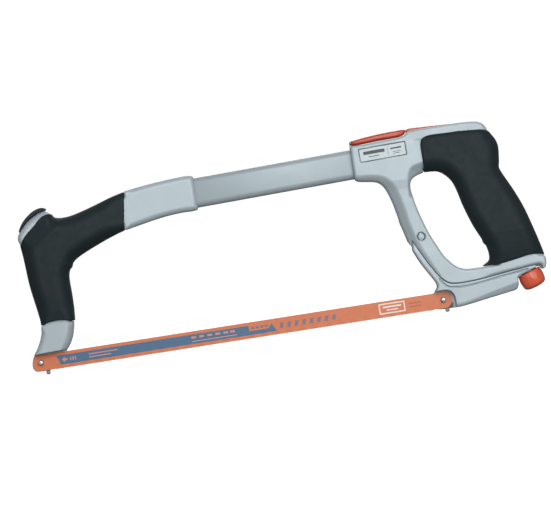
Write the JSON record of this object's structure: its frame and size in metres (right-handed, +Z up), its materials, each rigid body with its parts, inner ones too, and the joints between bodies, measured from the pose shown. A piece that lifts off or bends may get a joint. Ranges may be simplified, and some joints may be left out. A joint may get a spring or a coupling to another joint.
{
  "type": "hacksaw",
  "caption": "Hacksaw with a D-shaped cast handle, rubber grips, a box-section tube frame, a knob-driven tension lever and a straight blade.",
  "frame": {"origin": "middle of the bounding box's bottom face", "axes": "+X from the nose to the handle along the blade, +Y away from the side with the blade and the label, +Z up from the blade's teeth to the top tube"},
  "size_m": [0.3857, 0.032, 0.1379],
  "materials": {
    "casting": "satin",
    "rubber": "matte",
    "orange_plastic": "semi-gloss",
    "steel": "bright",
    "label": "satin",
    "blade": "painted"
  },
  "bodies": {
    "frame": {"front_bow": "casting", "front_grip": "rubber", "nose_pad": "rubber", "front_blade_pin": "steel", "front_angle_pin": "steel", "top_tube": "casting", "front_tube_screw": "steel", "rear_tube_screw": "steel", "handle_frame": "casting", "rear_grip": "rubber", "label_plate": "label", "lid_hinge_pin": "steel", "top_inlay": "orange_plastic", "lever_pivot_pin": "steel", "barrel_nut": "steel", "saw_blade": "blade"},
    "lever": {"tension_lever": "casting", "rear_blade_pin": "steel", "rear_angle_pin": "steel"},
    "thrust": {"thrust_washer": "steel"},
    "knob": {"tension_knob": "orange_plastic", "tension_screw": "steel"},
    "lid": {"storage_lid": "orange_plastic"}
  },
  "joints": [
    {"name": "screw_slide", "type": "slide", "parent": "frame", "child": "thrust", "axis": [0.314, 0, -0.9494], "range_m": [0, 0.0055]},
    {"name": "knob_turn", "type": "hinge", "parent": "thrust", "child": "knob", "pos_m": [0.17925, 0, 0.02025], "axis": [0.314, 0, -0.9494], "range_deg": [0, 1980]},
    {"name": "lever_hinge", "type": "hinge", "parent": "frame", "child": "lever", "pos_m": [0.10465, 0, 0.0579], "axis": [0, 1, 0], "range_deg": [0, 5], "deforming": ["saw_blade"]},
    {"name": "lid_hinge", "type": "hinge", "parent": "frame", "child": "lid", "pos_m": [0.06475, 0, 0.1335], "axis": [0, -1, 0], "range_deg": [0, 75]}
  ],
  "couplings": [
    {"joint": "screw_slide", "follows": "knob_turn", "m_per_rad": 0.00015915},
    {"joint": "lever_hinge", "follows": "knob_turn", "ratio": 0.0025253}
  ]
}
